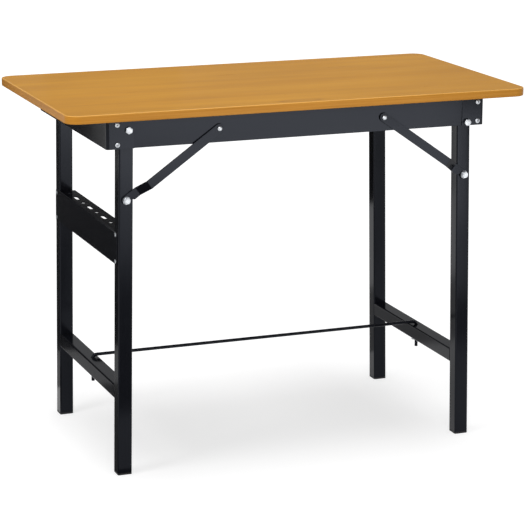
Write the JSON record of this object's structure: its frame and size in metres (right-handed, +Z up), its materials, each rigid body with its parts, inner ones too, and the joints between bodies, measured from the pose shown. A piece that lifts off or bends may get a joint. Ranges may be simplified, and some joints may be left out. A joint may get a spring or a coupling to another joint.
{
  "type": "folding workbench",
  "caption": "Workbench with a wood-grain board on a steel frame, leg pairs that fold under it, hooked braces, a slotted tool tray and a stretcher rod.",
  "frame": {"origin": "on the floor, under the middle of the board", "axes": "+X along the bench to the right end, -Y the front with the braces, +Z up"},
  "size_m": [1, 0.54, 0.758],
  "materials": {
    "board_laminate": "semi-gloss honey wood-grain laminate",
    "edge_band": "semi-gloss honey edge band",
    "black_coat": "glossy black powder coat on sheet and tube steel",
    "zinc": "bright zinc plate",
    "black_plastic": "matt black moulded plastic"
  },
  "bodies": {
    "left_leg_frame": {"front_left_foot_cap": "black_plastic", "front_left_leg": "black_coat", "front_lower_tray_screw": "zinc", "front_upper_tray_screw": "zinc", "left_brace_bolt": "zinc", "left_brace_lock_nut": "zinc", "left_crossbar": "black_coat", "rear_left_foot_cap": "black_plastic", "rear_left_leg": "black_coat", "rear_lower_tray_screw": "zinc", "rear_upper_tray_screw": "zinc", "tool_tray": "black_coat"},
    "bench_frame": {"front_left_lower_flange_screw": "zinc", "front_left_pivot_bolt": "zinc", "front_left_pivot_nut": "zinc", "front_left_pivot_spacer": "zinc", "front_left_top_screw": "zinc", "front_left_upper_flange_screw": "zinc", "front_rail": "black_coat", "front_right_lower_flange_screw": "zinc", "front_right_pivot_bolt": "zinc", "front_right_pivot_nut": "zinc", "front_right_pivot_spacer": "zinc", "front_right_top_screw": "zinc", "front_right_upper_flange_screw": "zinc", "left_brace_rivet": "zinc", "left_end_panel": "black_coat", "left_panel_top_screw": "zinc", "rear_left_lower_flange_screw": "zinc", "rear_left_pivot_bolt": "zinc", "rear_left_pivot_nut": "zinc", "rear_left_pivot_spacer": "zinc", "rear_left_top_screw": "zinc", "rear_left_upper_flange_screw": "zinc", "rear_rail": "black_coat", "rear_right_lower_flange_screw": "zinc", "rear_right_pivot_bolt": "zinc", "rear_right_pivot_nut": "zinc", "rear_right_pivot_spacer": "zinc", "rear_right_top_screw": "zinc", "rear_right_upper_flange_screw": "zinc", "right_brace_rivet": "zinc", "right_end_panel": "black_coat", "right_panel_top_screw": "zinc", "tabletop_board": "board_laminate", "tabletop_edge_band": "edge_band"},
    "right_leg_frame": {"front_right_foot_cap": "black_plastic", "front_right_leg": "black_coat", "rear_right_foot_cap": "black_plastic", "rear_right_leg": "black_coat", "right_brace_bolt": "zinc", "right_brace_lock_nut": "zinc", "right_crossbar": "black_coat"},
    "left_brace": {"left_brace": "black_coat"},
    "left_hairpin_clip": {"left_hairpin_clip": "zinc"},
    "right_brace": {"right_brace": "black_coat"},
    "right_hairpin_clip": {"right_hairpin_clip": "zinc"},
    "stretcher": {"stretcher_rod": "black_coat"}
  },
  "joints": [
    {"name": "left_leg_fold", "type": "hinge", "parent": "bench_frame", "child": "left_leg_frame", "pos_m": [-0.37, 0, 0.72], "axis": [0, -1, 0], "range_deg": [0, 91], "deforming": ["stretcher_rod", "left_hairpin_clip", "right_hairpin_clip"]},
    {"name": "right_leg_fold", "type": "hinge", "parent": "bench_frame", "child": "right_leg_frame", "pos_m": [0.37, 0, 0.69], "axis": [0, 1, 0], "range_deg": [0, 89.5], "deforming": ["stretcher_rod", "left_hairpin_clip", "right_hairpin_clip"]},
    {"name": "left_brace_swing", "type": "hinge", "parent": "bench_frame", "child": "left_brace", "pos_m": [-0.18, -0.2484, 0.71185], "axis": [0, 1, 0], "range_deg": [0, 23]},
    {"name": "right_brace_swing", "type": "hinge", "parent": "bench_frame", "child": "right_brace", "pos_m": [0.18, -0.2484, 0.71185], "axis": [0, -1, 0], "range_deg": [0, 23]},
    {"name": "stretcher_lift", "type": "slide", "parent": "bench_frame", "child": "stretcher", "axis": [0, 0, 1], "range_m": [0, 0.505]},
    {"name": "left_clip_pull", "type": "slide", "parent": "stretcher", "child": "left_hairpin_clip", "axis": [0, 1, 0], "range_m": [0, 0.016]},
    {"name": "right_clip_pull", "type": "slide", "parent": "stretcher", "child": "right_hairpin_clip", "axis": [0, 1, 0], "range_m": [0, 0.016]}
  ],
  "couplings": [
    {"joint": "left_brace_swing", "follows": "left_leg_fold", "ratio": 0.24725},
    {"joint": "right_brace_swing", "follows": "right_leg_fold", "ratio": 0.2514},
    {"joint": "stretcher_lift", "follows": "right_leg_fold", "m_per_rad": 0.32201}
  ]
}
